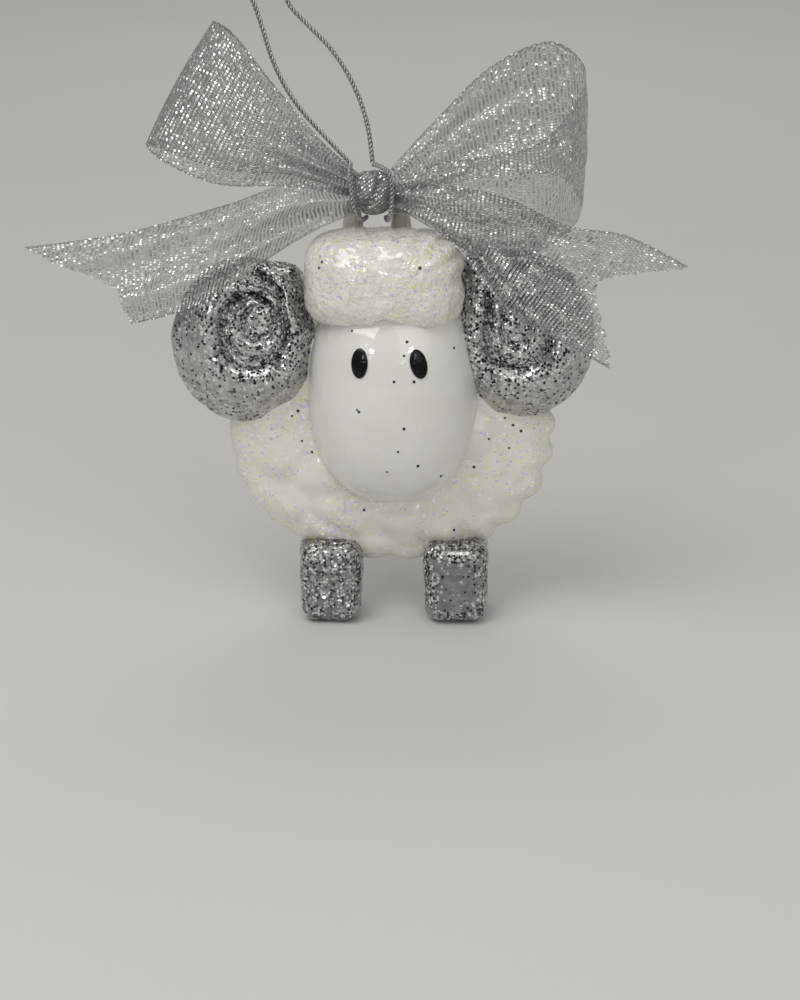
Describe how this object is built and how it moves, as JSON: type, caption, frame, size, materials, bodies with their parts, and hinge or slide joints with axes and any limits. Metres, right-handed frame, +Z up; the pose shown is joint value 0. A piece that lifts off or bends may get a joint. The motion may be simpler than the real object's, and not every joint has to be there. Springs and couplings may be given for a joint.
{
  "type": "sheep figurine",
  "caption": "Curly-horned sheep ornament: lumpy wool body, smooth egg-shaped face, glittered horns and feet, and a hanging eye tied with a ribbon bow and a cord loop.",
  "frame": {"origin": "on the ground, midway between the two soles", "axes": "+Z up, -Y the way the face looks, +X to the viewer's right"},
  "size_m": [0.1193, 0.025, 0.1233],
  "materials": {
    "wool": "gloss",
    "face": "gloss",
    "forelock": "gloss",
    "glitter": "satin",
    "eye_bar": "gloss",
    "enamel": "gloss",
    "ribbon": "satin",
    "cord": "satin"
  },
  "bodies": {
    "figure": {"wool_body": "wool", "face": "face", "forelock": "forelock", "left_horn": "glitter", "right_horn": "glitter", "left_foot": "glitter", "right_foot": "glitter", "hanging_eye": "eye_bar", "left_eye": "enamel", "right_eye": "enamel"},
    "bow": {"ribbon_knot": "ribbon", "ribbon_band": "ribbon", "ribbon_left_loop": "ribbon", "ribbon_right_loop": "ribbon", "ribbon_left_tail": "ribbon", "ribbon_right_tail": "ribbon", "cord_ties": "cord"},
    "hanger": {"hanger_cord": "cord"}
  },
  "joints": [
    {"name": "bow_tilt", "type": "hinge", "parent": "figure", "child": "bow", "pos_m": [-0.00318, 0.003, 0.0804], "axis": [-1, 0, 0], "range_deg": [0, 35]},
    {"name": "loop_swing", "type": "hinge", "parent": "bow", "child": "hanger", "pos_m": [-0.00378, -0.0017, 0.0873], "axis": [1, 0, 0], "range_deg": [-20, 60]}
  ]
}
